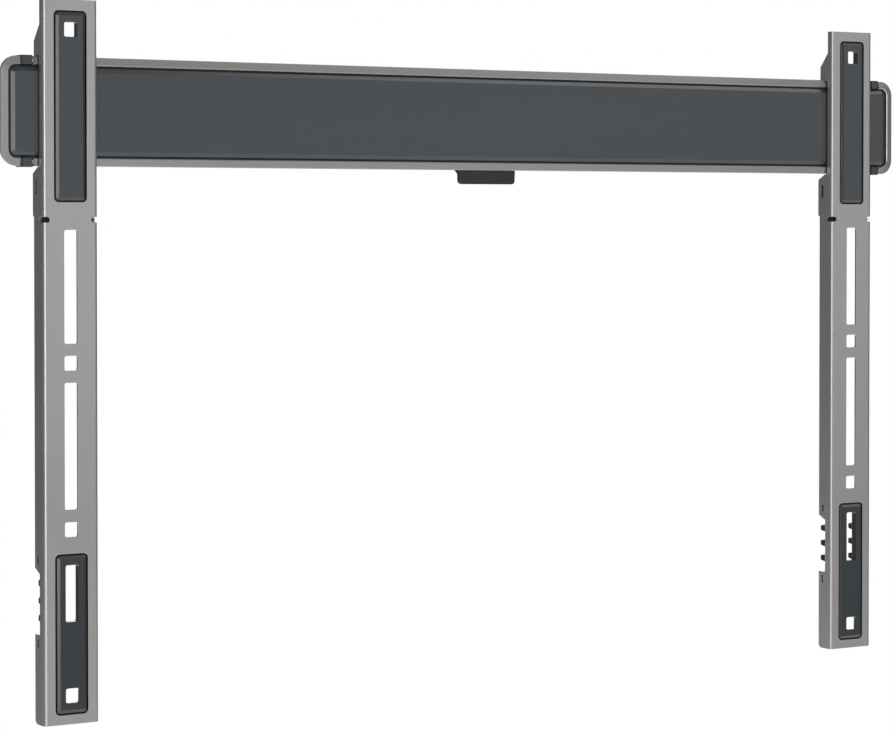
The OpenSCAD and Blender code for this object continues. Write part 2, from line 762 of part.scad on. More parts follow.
// The housing inside the arm: a guide for the latch over a bore for its spring
module latch_housing() {
    head_width = arm_inside - 2 * nub_gap;
    body_back = latch_back + latch_gap + housing_wall;
    low_back = foot_depth - 2 * nub_gap;
    cavity = latch_thick + 2 * latch_gap;
    front = arm_sheet;
    below_insert = upper_window_foot + insert_lip + nub_gap;
    color([0.12, 0.12, 0.12]) difference() {
        union() {
            intersection() {
                along(-head_width / 2, head_width) polygon([
                    [rim_back, -housing_top], [body_back, -housing_top], [body_back, -step_start + 0.4],
                    [low_back, -step_start - 0.8], [low_back, -housing_foot], [front, -housing_foot],
                    [front, -below_insert], [rim_back, -below_insert]]);
                union() {
                    translate([0, 0, -housing_top - housing_head]) linear_extrude(housing_head)
                        polygon([
                            [-head_width / 2, arm_bend], [-head_width / 2, body_back],
                            [head_width / 2, body_back], [head_width / 2, arm_bend],
                            [head_width / 2 - 1.2, front], [1.2 - head_width / 2, front]]);
                    translate([-housing_narrow / 2, front, -housing_foot])
                        cube([housing_narrow, body_back, housing_foot - housing_top]);
                }
            }
            translate([0, side_slot_set + nub_gap, -side_slot_drop])
                facing(0, side_slot_width - 2 * nub_gap)
                    square([arm_inside + arm_sheet, side_slot_height - 2 * nub_gap], center = true);
            for (side = [0, 1]) mirror([side, 0, 0])
                translate([0, 0, -notch_drop - notch_rib / 2]) linear_extrude(notch_rib) polygon([
                    [housing_narrow / 2 - past, front], [housing_narrow / 2, front],
                    [housing_narrow / 2, front - notch_rib / 2], [head_width / 2, front - notch_rib / 2],
                    [head_width / 2, notch_side - past], [housing_narrow / 2 - past, notch_side - past]]);
        }
        translate([-latch_width / 2 - latch_gap, latch_front - latch_gap, latch_foot - latch_travel - latch_gap])
            cube([latch_width + 2 * latch_gap, cavity, shoulder + latch_gap - latch_foot + latch_travel + latch_gap]);
        translate([-latch_width / 2 - latch_gap, nose_front - latch_gap, shoulder])
            cube([latch_width + 2 * latch_gap, nose_thick + 2 * latch_gap, housing_roof + 2 * past]);
        translate([0, spring_set, spring_floor])
            cylinder(r = spring_bore, h = latch_foot - spring_floor);
    }
}

// The latch: its nose goes up behind the rail's lip, and slopes back to ride over it
module latch() {
    color([0.55, 0.55, 0.54]) difference() {
        along(-latch_width / 2, latch_width) polygon([
            [nose_front, nose_top], [nose_front + nose_flat, nose_top],
            [latch_back, nose_top - nose_slope], [latch_back, latch_foot],
            [latch_front, latch_foot], [latch_front, shoulder], [nose_front, shoulder]]);
        translate([0, spring_set, latch_foot - past])
            cylinder(r = spring_bore - latch_gap / 2, h = spring_pocket + past);
    }
}

// The spring under the latch, a wire swept along a helix
module latch_spring() {
    sides = 6;
    steps = 10;
    start = spring_floor + spring_wire + 0.05;
    rise = latch_foot + spring_pocket - spring_wire - 0.05 - start;
    rings = spring_turns * steps;
    points = [for (i = [0 : rings], j = [0 : sides - 1])
        let (turn = 360 * i / steps, around = 360 * j / sides,
            reach = spring_radius + spring_wire * cos(around))
        [reach * cos(turn), spring_set + reach * sin(turn), start + rise * i / rings + spring_wire * sin(around)]];
    skin = [for (i = [0 : rings - 1], j = [0 : sides - 1])
        let (a = i * sides + j, b = i * sides + (j + 1) % sides)
        [a, b, b + sides, a + sides]];
    color([0.7, 0.7, 0.7]) polyhedron(points,
        concat([[for (j = [sides - 1 : -1 : 0]) j]], skin, [[for (j = [0 : sides - 1]) rings * sides + j]]));
}

module left_arm() { on_arm(-1) arm(); }
module left_upper_insert() { on_arm(-1) upper_insert(); }
module left_lower_insert() { on_arm(-1) lower_insert(); }
module left_toothed_frame() { on_arm(-1) toothed_frame(); }
module left_latch_housing() { on_arm(-1) latch_housing(); }
module left_latch() { on_arm(-1) latch(); }
module left_latch_spring() { on_arm(-1) latch_spring(); }
module right_arm() { on_arm(1) arm(); }
module right_upper_insert() { on_arm(1) upper_insert(); }
module right_lower_insert() { on_arm(1) lower_insert(); }
module right_toothed_frame() { on_arm(1) toothed_frame(); }
module right_latch_housing() { on_arm(1) latch_housing(); }
module right_latch() { on_arm(1) latch(); }
module right_latch_spring() { on_arm(1) latch_spring(); }

rail_plate();
rail_channel();
rail_cover();
left_end_stop();
right_end_stop();
centre_tab();
left_arm();
left_upper_insert();
left_lower_insert();
left_toothed_frame();
left_latch_housing();
left_latch();
left_latch_spring();
right_arm();
right_upper_insert();
right_lower_insert();
right_toothed_frame();
right_latch_housing();
right_latch();
right_latch_spring();
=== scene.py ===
import math

import bpy
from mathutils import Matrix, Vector


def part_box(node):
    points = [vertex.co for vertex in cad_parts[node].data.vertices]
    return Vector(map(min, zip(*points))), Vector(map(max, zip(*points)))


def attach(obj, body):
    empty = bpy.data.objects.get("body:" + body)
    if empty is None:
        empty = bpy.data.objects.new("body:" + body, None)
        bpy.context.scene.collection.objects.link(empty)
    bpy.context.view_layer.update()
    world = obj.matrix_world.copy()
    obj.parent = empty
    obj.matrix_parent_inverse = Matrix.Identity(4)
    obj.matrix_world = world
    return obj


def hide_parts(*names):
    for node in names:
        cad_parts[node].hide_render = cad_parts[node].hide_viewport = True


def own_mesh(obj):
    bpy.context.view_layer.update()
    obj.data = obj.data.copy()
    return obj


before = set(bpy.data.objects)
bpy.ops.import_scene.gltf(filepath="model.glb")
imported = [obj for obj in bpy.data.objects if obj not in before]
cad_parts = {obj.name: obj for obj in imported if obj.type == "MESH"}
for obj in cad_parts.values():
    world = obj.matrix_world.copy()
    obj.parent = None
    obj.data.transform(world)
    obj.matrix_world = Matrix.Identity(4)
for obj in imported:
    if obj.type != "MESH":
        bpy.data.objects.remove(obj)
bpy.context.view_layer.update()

bl_info = {
    "name": "Slim Television Mount",
    "version": (1, 0, 0),
    "blender": (4, 5, 0),
    "location": "View3D > Sidebar > Mount",
    "description": "Dresses the rail, arms, covers and latches of a flat television mount",
    "category": "Object",
}

SIDES = ("left", "right")
PHOTO_WIDTH = 892
PHOTO_HEIGHT = 730
SENSOR_WIDTH = 36.0

WHITE = (1.0, 1.0, 1.0, 1.0)
FLOOR_PAPER = (0.8, 0.8, 0.8, 1.0)
# Colour of the shade painted into narrow gaps
PAINTED_SHADE_BLACK = (0.003, 0.003, 0.003, 1.0)

# The colour sockets of a Mix node, among those of its other kinds
MIX_SHARE, MIX_FIRST, MIX_SECOND, MIX_RESULT = 0, 6, 7, 2

# Part of a turn over which the wire closes on itself at each end of a spring
CLOSED_TURN = 0.8

# Each lamp's name, place, width, height, the property with its power, and its share of that power
LAMPS = (
    ("key_lamp", (-1.4, -1.95, -0.1), 1.2, 1.2, "key_power", 1.0),
    ("fill_lamp", (1.0, -2.35, 0.05), 2.6, 1.0, "fill_power", 1.0),
    ("side_lamp", (1.6, -1.5, 1.6), 1.2, 0.9, "side_power", 1.0),
    ("top_lamp", (0.2, -0.4, 2.2), 2.0, 1.6, "top_power", 1.0),
    ("back_lamp", (1.2, 2.2, 0.7), 1.8, 1.2, "back_power", 1.0),
    ("low_back_lamp", (0.3, 2.0, -0.6), 1.2, 0.5, "back_power", 1 / 3),
)
LAMP_TARGET = (0.0, -0.02, -0.12)


# Properties

def colour_property(name, description, default):
    return bpy.props.FloatVectorProperty(
        name=name, description=description, default=default, subtype="COLOR", size=3,
        min=0.0, max=1.0)


def length_property(name, description, default, highest=0.01):
    return bpy.props.FloatProperty(
        name=name, description=description, default=default, subtype="DISTANCE", unit="LENGTH",
        min=0.0, max=highest, precision=5)


def share_property(name, description, default):
    return bpy.props.FloatProperty(
        name=name, description=description, default=default, subtype="FACTOR",
        min=0.0, max=1.0)


def count_property(name, description, default, lowest, highest):
    return bpy.props.IntProperty(
        name=name, description=description, default=default, min=lowest, max=highest)


def angle_property(name, description, degrees):
    return bpy.props.FloatProperty(
        name=name, description=description, default=math.radians(degrees), subtype="ANGLE",
        unit="ROTATION")


def pixel_property(name, description, default):
    return bpy.props.FloatProperty(
        name=name, description=description, default=default, subtype="PIXEL", min=0.0)


def power_property(name, description, default):
    return bpy.props.FloatProperty(
        name=name, description=description, default=default, subtype="POWER", unit="POWER",
        min=0.0)


class MountFinish(bpy.types.PropertyGroup):
    """Colours and gloss of the mount's finishes"""

    arm_paint: colour_property(
        "Arm paint", "Satin metallic coat on the arms", (0.45, 0.443, 0.432))
    rail_paint: colour_property(
        "Rail paint", "Satin metallic coat on the rail", (0.40, 0.393, 0.382))
    channel_paint: colour_property(
        "Channel paint", "Grey coat on the hidden channel", (0.20, 0.20, 0.195))
    cover_plastic: colour_property(
        "Cover plastic", "Slate moulding of the long cover", (0.043, 0.053, 0.061))
    insert_plastic: colour_property(
        "Insert plastic", "Slate moulding of the arm inserts", (0.043, 0.053, 0.060))
    trim_plastic: colour_property(
        "Trim plastic", "Moulding of the end stops", (0.060, 0.062, 0.062))
    tab_plastic: colour_property(
        "Tab plastic", "Moulding of the centre tab", (0.013, 0.016, 0.019))
    black_plastic: colour_property(
        "Black plastic", "Moulding of the toothed frames and housings", (0.010, 0.010, 0.010))
    latch_plastic: colour_property(
        "Latch plastic", "Hard moulding of the latches", (0.25, 0.25, 0.24))
    spring_steel: colour_property(
        "Spring steel", "Wire of the latch springs", (0.55, 0.54, 0.52))
    paint_metallic: share_property(
        "Paint metallic", "How metallic the satin coat looks", 0.75)
    paint_roughness: share_property(
        "Paint roughness", "Roughness of the satin coat", 0.36)
    plastic_roughness: share_property(
        "Plastic roughness", "Roughness of the slate mouldings", 0.24)


class MountDetail(bpy.types.PropertyGroup):
    """Sizes of the small forms and textures"""

    sheet_edge: length_property(
        "Sheet edge", "Radius of the steel's cut edges", 0.0003)
    moulded_edge: length_property(
        "Moulded edge", "Radius of the mouldings' edges", 0.0004)
    peel_size: length_property(
        "Coat texture", "Width of the ripples in the sprayed coat", 0.0011)
    flake_size: length_property(
        "Flake size", "Width of the flakes in the sprayed coat", 0.00022)
    grain_size: length_property(
        "Moulding grain", "Width of the grain on the mouldings", 0.00045)
    wear_reach: length_property(
        "Edge wear", "Width of the band where edges are polished", 0.0006)
    # Reach of the mask for the shade painted into narrow gaps
    gap_reach: length_property(
        "Gap shade", "Width of the gaps that light hardly enters", 0.0022)
    spring_wire: length_property(
        "Spring wire", "Radius of the springs' wire", 0.00034)
    spring_turns: count_property(
        "Spring turns", "Turns of a spring", 10, 4, 24)
    spring_segments: count_property(
        "Spring segments", "Segments in one turn of a spring", 28, 12, 64)
    wire_sides: count_property(
        "Wire sides", "Sides of the spring's wire", 12, 6, 24)


class MountStage(bpy.types.PropertyGroup):
    """Camera, lamps and floor"""

    focal_pixels: pixel_property(
        "Focal length in pixels", "Focal length of the fitted view", 2933.8)
    axis_row: pixel_property(
        "Axis row", "Picture row that the lens axis meets", 280.0)
    camera_place: bpy.props.FloatVectorProperty(
        name="Camera place", description="Place of the camera",
        default=(-1.0279, -1.6431, -0.0624), subtype="TRANSLATION", unit="LENGTH", size=3)
    camera_turn: angle_property(
        "Camera turn", "Turn to the right of the wall's normal", 31.522)
    camera_pitch: angle_property(
        "Camera pitch", "Tilt above the horizon", -1.258)
    floor_level: length_property(
        "Floor level", "Distance of the floor below the rail", 0.95, 5.0)
    floor_half: length_property(
        "Floor half width", "Half the width of the floor", 2.0, 20.0)
    floor_glow: share_property(
        "Floor glow", "How pale the floor looks", 0.97)
    key_power: power_property(
        "Key power", "Power of the left soft lamp", 18.0)
    fill_power: power_property(
        "Fill power", "Power of the wide front lamp", 7.5)
    side_power: power_property(
        "Side power", "Power of the high right lamp", 8.0)
    top_power: power_property(
        "Top power", "Power of the overhead lamp", 6.0)
    back_power: power_property(
        "Back power", "Power of the lamps behind", 20.0)
    world_level: share_property(
        "World level", "Level of the surrounding light", 0.15)
    mirror_level: share_property(
        "Mirror level", "Level of the surroundings as gloss and metal see them", 0.15)


# Shader helpers

class Shader:
    """Adds and links nodes in one node tree"""

    def __init__(self, tree):
        self.tree = tree

    def link(self, start, end):
        self.tree.links.new(start, end)

    def feed(self, socket, value):
        """Gives a socket a plain value, or links another socket to it"""
        if isinstance(value, bpy.types.NodeSocket):
            self.link(value, socket)
        else:
            socket.default_value = value

    def node(self, kind, values=None, **settings):
        made = self.tree.nodes.new(kind)
        for name, value in settings.items():
            setattr(made, name, value)
        for name, value in (values or {}).items():
            self.feed(made.inputs[name], value)
        return made

    def math(self, operation, first, second, clamp=False):
        made = self.node("ShaderNodeMath", operation=operation, use_clamp=clamp)
        self.feed(made.inputs[0], first)
        self.feed(made.inputs[1], second)
        return made.outputs[0]

    def spread(self, value, low, high, to_low=0.0, to_high=1.0):
        """Stretches a value from one range to another, and keeps it inside"""
        made = self.node("ShaderNodeMapRange", {
            "Value": value, "From Min": low, "From Max": high, "To Min": to_low,
            "To Max": to_high}, clamp=True)
        return made.outputs["Result"]

    def mix_colour(self, share, first, second):
        made = self.node("ShaderNodeMix", data_type="RGBA", clamp_factor=True)
        self.feed(made.inputs[MIX_SHARE], share)
        self.feed(made.inputs[MIX_FIRST], first)
        self.feed(made.inputs[MIX_SECOND], second)
        return made.outputs[MIX_RESULT]

    def mix_shader(self, share, first, second):
        made = self.node("ShaderNodeMixShader", {"Fac": share})
        self.link(first.outputs[0], made.inputs[1])
        self.link(second.outputs[0], made.inputs[2])
        return made


def new_group(name, inputs, outputs):
    """An empty shader group with named float sockets, its input node and its output node"""
    tree = bpy.data.node_groups.new(name, "ShaderNodeTree")
    for label, default in inputs:
        socket = tree.interface.new_socket(
            label, in_out="INPUT", socket_type="NodeSocketFloat")
        socket.default_value = default
    for label in outputs:
        tree.interface.new_socket(label, in_out="OUTPUT", socket_type="NodeSocketFloat")
    return tree, tree.nodes.new("NodeGroupInput"), tree.nodes.new("NodeGroupOutput")


def build_sprayed_coat(name):
    """Ripples of a sprayed coat, with fine metallic flakes and slow changes of tone"""
    fine_ripples = 2.6
    fine_height = 0.35
    tree, given, result = new_group(
        name, [("Ripple Size", 0.001), ("Flake Size", 0.0002)], ["Height", "Flakes", "Tone"])
    shader = Shader(tree)
    ripple_size, flake_size = given.outputs["Ripple Size"], given.outputs["Flake Size"]
    place = shader.node("ShaderNodeTexCoord").outputs["Object"]
    broad = shader.node("ShaderNodeTexNoise", {
        "Vector": place, "Scale": shader.math("DIVIDE", 1.0, ripple_size),
        "Detail": 2.0, "Roughness": 0.45})
    fine = shader.node("ShaderNodeTexNoise", {
        "Vector": place, "Scale": shader.math("DIVIDE", fine_ripples, ripple_size),
        "Detail": 1.0})
    flakes = shader.node("ShaderNodeTexVoronoi", {
        "Vector": place, "Scale": shader.math("DIVIDE", 1.0, flake_size)})
    patches = shader.node("ShaderNodeTexNoise", {
        "Vector": place, "Scale": 9.0, "Detail": 3.0, "Roughness": 0.55})
    fine_part = shader.math("MULTIPLY", fine.outputs["Fac"], fine_height)
    height = shader.math("ADD", broad.outputs["Fac"], fine_part)
    shader.link(height, result.inputs["Height"])
    shader.link(shader.spread(flakes.outputs["Color"], 0.25, 0.95), result.inputs["Flakes"])
    shader.link(shader.spread(patches.outputs["Fac"], 0.3, 0.7), result.inputs["Tone"])
    return tree


def build_moulded_grain(name):
    """Fine spark-eroded grain of a moulding, with faint flow marks and scuffs"""
    pits_in_grain = 0.8
    pit_depth = 0.5
    flow_stretch = (2.0, 12.0, 12.0)
    tree, given, result = new_group(
        name, [("Grain Size", 0.0004)], ["Height", "Flow", "Scuffs"])
    shader = Shader(tree)
    grain_size = given.outputs["Grain Size"]
    place = shader.node("ShaderNodeTexCoord").outputs["Object"]
    grain = shader.node("ShaderNodeTexNoise", {
        "Vector": place, "Scale": shader.math("DIVIDE", 1.0, grain_size),
        "Detail": 3.0, "Roughness": 0.6})
    pits = shader.node("ShaderNodeTexVoronoi", {
        "Vector": place, "Scale": shader.math("DIVIDE", pits_in_grain, grain_size)},
        feature="SMOOTH_F1")
    stretched = shader.node("ShaderNodeMapping", {"Vector": place, "Scale": flow_stretch})
    flow = shader.node("ShaderNodeTexNoise", {
        "Vector": stretched.outputs[0], "Scale": 1.2, "Detail": 3.0})
    scuffs = shader.node("ShaderNodeTexNoise", {
        "Vector": place, "Scale": 70.0, "Detail": 5.0, "Roughness": 0.7})
    pitted = shader.math("MULTIPLY", pits.outputs["Distance"], pit_depth)
    height = shader.math("ADD", grain.outputs["Fac"], pitted)
    shader.link(height, result.inputs["Height"])
    shader.link(shader.spread(flow.outputs["Fac"], 0.3, 0.7), result.inputs["Flow"])
    shader.link(shader.spread(scuffs.outputs["Fac"], 0.55, 0.8), result.inputs["Scuffs"])
    return tree


def build_edge_polish(name):
    """A mask of the edges that hands and cloths polish"""
    no_edge, full_edge = 0.995, 0.86
    tree, given, result = new_group(name, [("Reach", 0.0005), ("Breakup", 0.5)], ["Mask"])
    shader = Shader(tree)
    rounded = shader.node("ShaderNodeBevel", {"Radius": given.outputs["Reach"]}, samples=4)
    agreement = shader.node("ShaderNodeVectorMath", operation="DOT_PRODUCT")
    shader.link(rounded.outputs["Normal"], agreement.inputs[0])
    shader.link(
        shader.node("ShaderNodeNewGeometry").outputs["Normal"], agreement.inputs[1])
    edge = shader.spread(agreement.outputs["Value"], no_edge, full_edge)
    place = shader.node("ShaderNodeTexCoord").outputs["Object"]
    patches = shader.node("ShaderNodeTexNoise", {
        "Vector": place, "Scale": 160.0, "Detail": 4.0, "Roughness": 0.6})
    broken = shader.spread(patches.outputs["Fac"], 0.35, 0.65)
    missing = shader.math("MULTIPLY", given.outputs["Breakup"], broken)
    kept = shader.math("SUBTRACT", 1.0, missing)
    shader.link(shader.math("MULTIPLY", edge, kept, clamp=True), result.inputs["Mask"])
    return tree


def build_gap_shade(name):
    """A mask of the narrow gaps that light hardly enters, for the shade painted into their colour
    """
    open_corner, deep_gap = 0.85, 0.45
    tree, given, result = new_group(name, [("Reach", 0.0015)], ["Mask"])
    shader = Shader(tree)
    corner = shader.node(
        "ShaderNodeAmbientOcclusion", {"Distance": given.outputs["Reach"]}, samples=6)
    mask = shader.spread(corner.outputs["AO"], open_corner, deep_gap)
    shader.link(mask, result.inputs["Mask"])
    return tree


def place_group(shader, name, build, **values):
    """Places a shared group in a material with its own values, built when first asked for"""
    made = shader.node(
        "ShaderNodeGroup", node_tree=bpy.data.node_groups.get(name) or build(name))
    for label, value in values.items():
        made.inputs[label.replace("_", " ")].default_value = value
    return made


def scaled(colour, share):
    """A lighter or darker tone of a colour"""
    return (*(min(1.0, channel * share) for channel in colour), 1.0)


def new_material(name):
    material = bpy.data.materials.new(name)
    material.use_nodes = True
    shader = Shader(material.node_tree)
    return material, shader, material.node_tree.nodes["Principled BSDF"]


def polished(shader, roughness, polish):
    """Roughness that falls a little where the edges are polished"""
    return shader.math("SUBTRACT", roughness, shader.math("MULTIPLY", polish, 0.06))


def finish_surface(
        shader, surface, edge_radius, shade, colour, roughness, height, strength, depth):
    """Joins colour, roughness and relief to a surface, with painted shade in gaps and round at
    edges
    """
    painted_shade_strength = 0.95
    gap_dullness = 0.4
    # Paints shade into the colour where the gap mask finds narrow gaps
    painted_shade = shader.math("MULTIPLY", shade, painted_shade_strength)
    shader.link(shader.mix_colour(painted_shade, colour, PAINTED_SHADE_BLACK), surface.inputs["Base Color"])
    added = shader.math("MULTIPLY", shade, gap_dullness)
    dull = shader.math("ADD", roughness, added, clamp=True)
    shader.link(dull, surface.inputs["Roughness"])
    rounded = shader.node("ShaderNodeBevel", {"Radius": edge_radius}, samples=8)
    relief = shader.node("ShaderNodeBump", {
        "Strength": strength, "Distance": depth, "Height": height,
        "Normal": rounded.outputs["Normal"]})
    shader.link(relief.outputs["Normal"], surface.inputs["Normal"])


def satin_coat(name, colour, finish, detail, metallic=None, roughness=None):
    """Silver-grey sprayed coat on folded steel"""
    flake_share, flake_light = 0.22, 1.3
    edge_share, edge_light = 0.25, 1.2
    gloss_change = 0.02
    material, shader, surface = new_material(name)
    coat = place_group(
        shader, "sprayed_coat", build_sprayed_coat,
        Ripple_Size=detail.peel_size, Flake_Size=detail.flake_size)
    polish = place_group(
        shader, "edge_polish", build_edge_polish, Reach=detail.wear_reach, Breakup=0.7)
    # Mask of narrow gaps, where shade is painted into the coat's colour
    shade = place_group(shader, "gap_shade", build_gap_shade, Reach=detail.gap_reach)
    tone, flakes, edges = coat.outputs["Tone"], coat.outputs["Flakes"], polish.outputs["Mask"]
    base = shader.mix_colour(tone, scaled(colour, 0.97), scaled(colour, 1.03))
    sparkle = shader.mix_colour(
        shader.math("MULTIPLY", flakes, flake_share), base, scaled(colour, flake_light))
    edged = shader.mix_colour(
        shader.math("MULTIPLY", edges, edge_share), sparkle, scaled(colour, edge_light))
    level = finish.paint_roughness if roughness is None else roughness
    rough = shader.spread(tone, 0.0, 1.0, level - gloss_change, level + gloss_change)
    finish_surface(
        shader, surface, detail.sheet_edge, shade.outputs["Mask"], edged,
        polished(shader, rough, edges), coat.outputs["Height"], strength=0.10, depth=0.0002)
    surface.inputs["Metallic"].default_value = (
        finish.paint_metallic if metallic is None else metallic)
    return material


def moulded_plastic(name, colour, detail, roughness, specular=0.6):
    """Finely grained moulding"""
    edge_share, edge_light = 0.3, 1.5
    scuff_share, scuff_light = 0.12, 1.3
    scuff_dullness = 0.05
    material, shader, surface = new_material(name)
    mould = place_group(
        shader, "moulded_grain", build_moulded_grain, Grain_Size=detail.grain_size)
    polish = place_group(
        shader, "edge_polish", build_edge_polish, Reach=detail.wear_reach, Breakup=0.5)
    # Mask of narrow gaps, where shade is painted into the moulding's colour
    shade = place_group(shader, "gap_shade", build_gap_shade, Reach=detail.gap_reach)
    flow, scuffs, edges = mould.outputs["Flow"], mould.outputs["Scuffs"], polish.outputs["Mask"]
    base = shader.mix_colour(flow, scaled(colour, 0.95), scaled(colour, 1.05))
    edged = shader.mix_colour(
        shader.math("MULTIPLY", edges, edge_share), base, scaled(colour, edge_light))
    scuffed = shader.mix_colour(
        shader.math("MULTIPLY", scuffs, scuff_share), edged, scaled(colour, scuff_light))
    rough = shader.spread(scuffs, 0.0, 1.0, roughness, roughness + scuff_dullness)
    finish_surface(
        shader, surface, detail.moulded_edge, shade.outputs["Mask"], scuffed,
        polished(shader, rough, edges), mould.outputs["Height"], strength=0.14, depth=0.00012)
    surface.inputs["Specular IOR Level"].default_value = specular
    return material


def drawn_wire(name, colour):
    """Bright spring wire with faint drawing lines"""
    material, shader, surface = new_material(name)
    place = shader.node("ShaderNodeTexCoord").outputs["Object"]
    noise = shader.node("ShaderNodeTexNoise", {"Vector": place, "Scale": 2400.0, "Detail": 2.0})
    lines = noise.outputs["Fac"]
    tone = shader.spread(lines, 0.3, 0.7)
    bright = shader.mix_colour(tone, scaled(colour, 0.85), scaled(colour, 1.1))
    shader.link(bright, surface.inputs["Base Color"])
    shader.link(shader.spread(lines, 0.3, 0.7, 0.22, 0.36), surface.inputs["Roughness"])
    surface.inputs["Metallic"].default_value = 1.0
    relief = shader.node("ShaderNodeBump", {
        "Strength": 0.1, "Distance": 0.00005, "Height": lines})
    shader.link(relief.outputs["Normal"], surface.inputs["Normal"])
    return material


# Pieces

def dress(node, material):
    """Gives a construction piece its finish"""
    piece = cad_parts[node]
    piece.data.materials.clear()
    piece.data.materials.append(material)


def coil_level(turn, turns, wire, low, high):
    """Height of the wire's middle, with a closed turn at each end and an even rise between"""
    inner = min(max((turn - CLOSED_TURN) / (turns - 2 * CLOSED_TURN), 0.0), 1.0)
    start = min(turn, CLOSED_TURN) / CLOSED_TURN
    end = max(turn - turns + CLOSED_TURN, 0.0) / CLOSED_TURN
    closed_rise = 2 * wire
    even_rise = high - low - 2 * wire - 2 * closed_rise
    return low + wire + closed_rise * (start + end) + inner * even_rise


def wound_spring(name, low, high, detail):
    """A closed round wire wound into a spring that fills a box"""
    wire, turns = detail.spring_wire, detail.spring_turns
    segments, sides = detail.spring_segments, detail.wire_sides
    middle = (low + high) / 2
    reach = (high.x - low.x) / 2 - wire
    total = turns * segments
    points = []
    for i in range(total + 1):
        turn = i / segments
        angle = 2 * math.pi * turn
        out = Vector((math.cos(angle), math.sin(angle), 0.0))
        level = coil_level(turn, turns, wire, low.z, high.z)
        ring_middle = Vector((middle.x, middle.y, level)) + out * reach
        for j in range(sides):
            around = 2 * math.pi * j / sides
            rise = Vector((0.0, 0.0, wire * math.sin(around)))
            points.append(ring_middle + out * wire * math.cos(around) + rise)
    faces = []
    for i in range(total):
        ring, following = i * sides, (i + 1) * sides
        for j in range(sides):
            beside = (j + 1) % sides
            faces.append((ring + j, ring + beside, following + beside, following + j))
    faces.append(tuple(reversed(range(sides))))
    faces.append(tuple(total * sides + j for j in range(sides)))
    mesh = bpy.data.meshes.new(name)
    mesh.from_pydata(points, [], faces)
    mesh.shade_smooth()
    piece = bpy.data.objects.new(name, mesh)
    bpy.context.scene.collection.objects.link(piece)
    return piece


# Operators

class MOUNT_OT_rail_plate(bpy.types.Operator):
    """Dress the rail's folded plate"""

    bl_idname = "mount.rail_plate"
    bl_label = "Rail plate"

    def execute(self, context):
        finish, detail = context.scene.mount_finish, context.scene.mount_detail
        coat = satin_coat("rail_coat", finish.rail_paint, finish, detail)
        dress("rail_plate", coat)
        return {"FINISHED"}


class MOUNT_OT_rail_channel(bpy.types.Operator):
    """Dress the channel that carries the rail on the wall"""

    bl_idname = "mount.rail_channel"
    bl_label = "Rail channel"

    def execute(self, context):
        finish, detail = context.scene.mount_finish, context.scene.mount_detail
        coat = satin_coat(
            "channel_coat", finish.channel_paint, finish, detail, metallic=0.3, roughness=0.5)
        dress("rail_channel", coat)
        return {"FINISHED"}


class MOUNT_OT_rail_cover(bpy.types.Operator):
    """Dress the long cover strip"""

    bl_idname = "mount.rail_cover"
    bl_label = "Rail cover"

    def execute(self, context):
        finish, detail = context.scene.mount_finish, context.scene.mount_detail
        plastic = moulded_plastic(
            "cover_moulding", finish.cover_plastic, detail, roughness=finish.plastic_roughness)
        dress("rail_cover", plastic)
        return {"FINISHED"}


class MOUNT_OT_end_stops(bpy.types.Operator):
    """Dress the two end stops"""

    bl_idname = "mount.end_stops"
    bl_label = "End stops"

    def execute(self, context):
        finish, detail = context.scene.mount_finish, context.scene.mount_detail
        plastic = moulded_plastic("trim_moulding", finish.trim_plastic, detail, roughness=0.5)
        for side in SIDES:
            dress(f"{side}_end_stop", plastic)
        return {"FINISHED"}


class MOUNT_OT_centre_tab(bpy.types.Operator):
    """Dress the tab under the middle of the rail"""

    bl_idname = "mount.centre_tab"
    bl_label = "Centre tab"

    def execute(self, context):
        finish, detail = context.scene.mount_finish, context.scene.mount_detail
        plastic = moulded_plastic("tab_moulding", finish.tab_plastic, detail, roughness=0.5)
        dress("centre_tab", plastic)
        return {"FINISHED"}


class MOUNT_OT_arms(bpy.types.Operator):
    """Dress the two folded arms"""

    bl_idname = "mount.arms"
    bl_label = "Arms"

    def execute(self, context):
        finish, detail = context.scene.mount_finish, context.scene.mount_detail
        coat = satin_coat("arm_coat", finish.arm_paint, finish, detail)
        for side in SIDES:
            dress(f"{side}_arm", coat)
        return {"FINISHED"}


class MOUNT_OT_inserts(bpy.types.Operator):
    """Dress the slate inserts in the arms' windows"""

    bl_idname = "mount.inserts"
    bl_label = "Inserts"

    def execute(self, context):
        finish, detail = context.scene.mount_finish, context.scene.mount_detail
        plastic = moulded_plastic(
            "insert_moulding", finish.insert_plastic, detail,
            roughness=finish.plastic_roughness)
        for side in SIDES:
            for level in ("upper", "lower"):
                dress(f"{side}_{level}_insert", plastic)
        return {"FINISHED"}


class MOUNT_OT_black_mouldings(bpy.types.Operator):
    """Dress the toothed frames and the latch housings"""

    bl_idname = "mount.black_mouldings"
    bl_label = "Black mouldings"

    def execute(self, context):
        finish, detail = context.scene.mount_finish, context.scene.mount_detail
        plastic = moulded_plastic(
            "black_moulding", finish.black_plastic, detail, roughness=0.45, specular=0.35)
        for side in SIDES:
            for part in ("toothed_frame", "latch_housing"):
                dress(f"{side}_{part}", plastic)
        return {"FINISHED"}


class MOUNT_OT_latches(bpy.types.Operator):
    """Dress the sprung latches under the rail"""

    bl_idname = "mount.latches"
    bl_label = "Latches"

    def execute(self, context):
        finish, detail = context.scene.mount_finish, context.scene.mount_detail
        plastic = moulded_plastic("latch_moulding", finish.latch_plastic, detail, roughness=0.38)
        for side in SIDES:
            dress(f"{side}_latch", plastic)
        return {"FINISHED"}


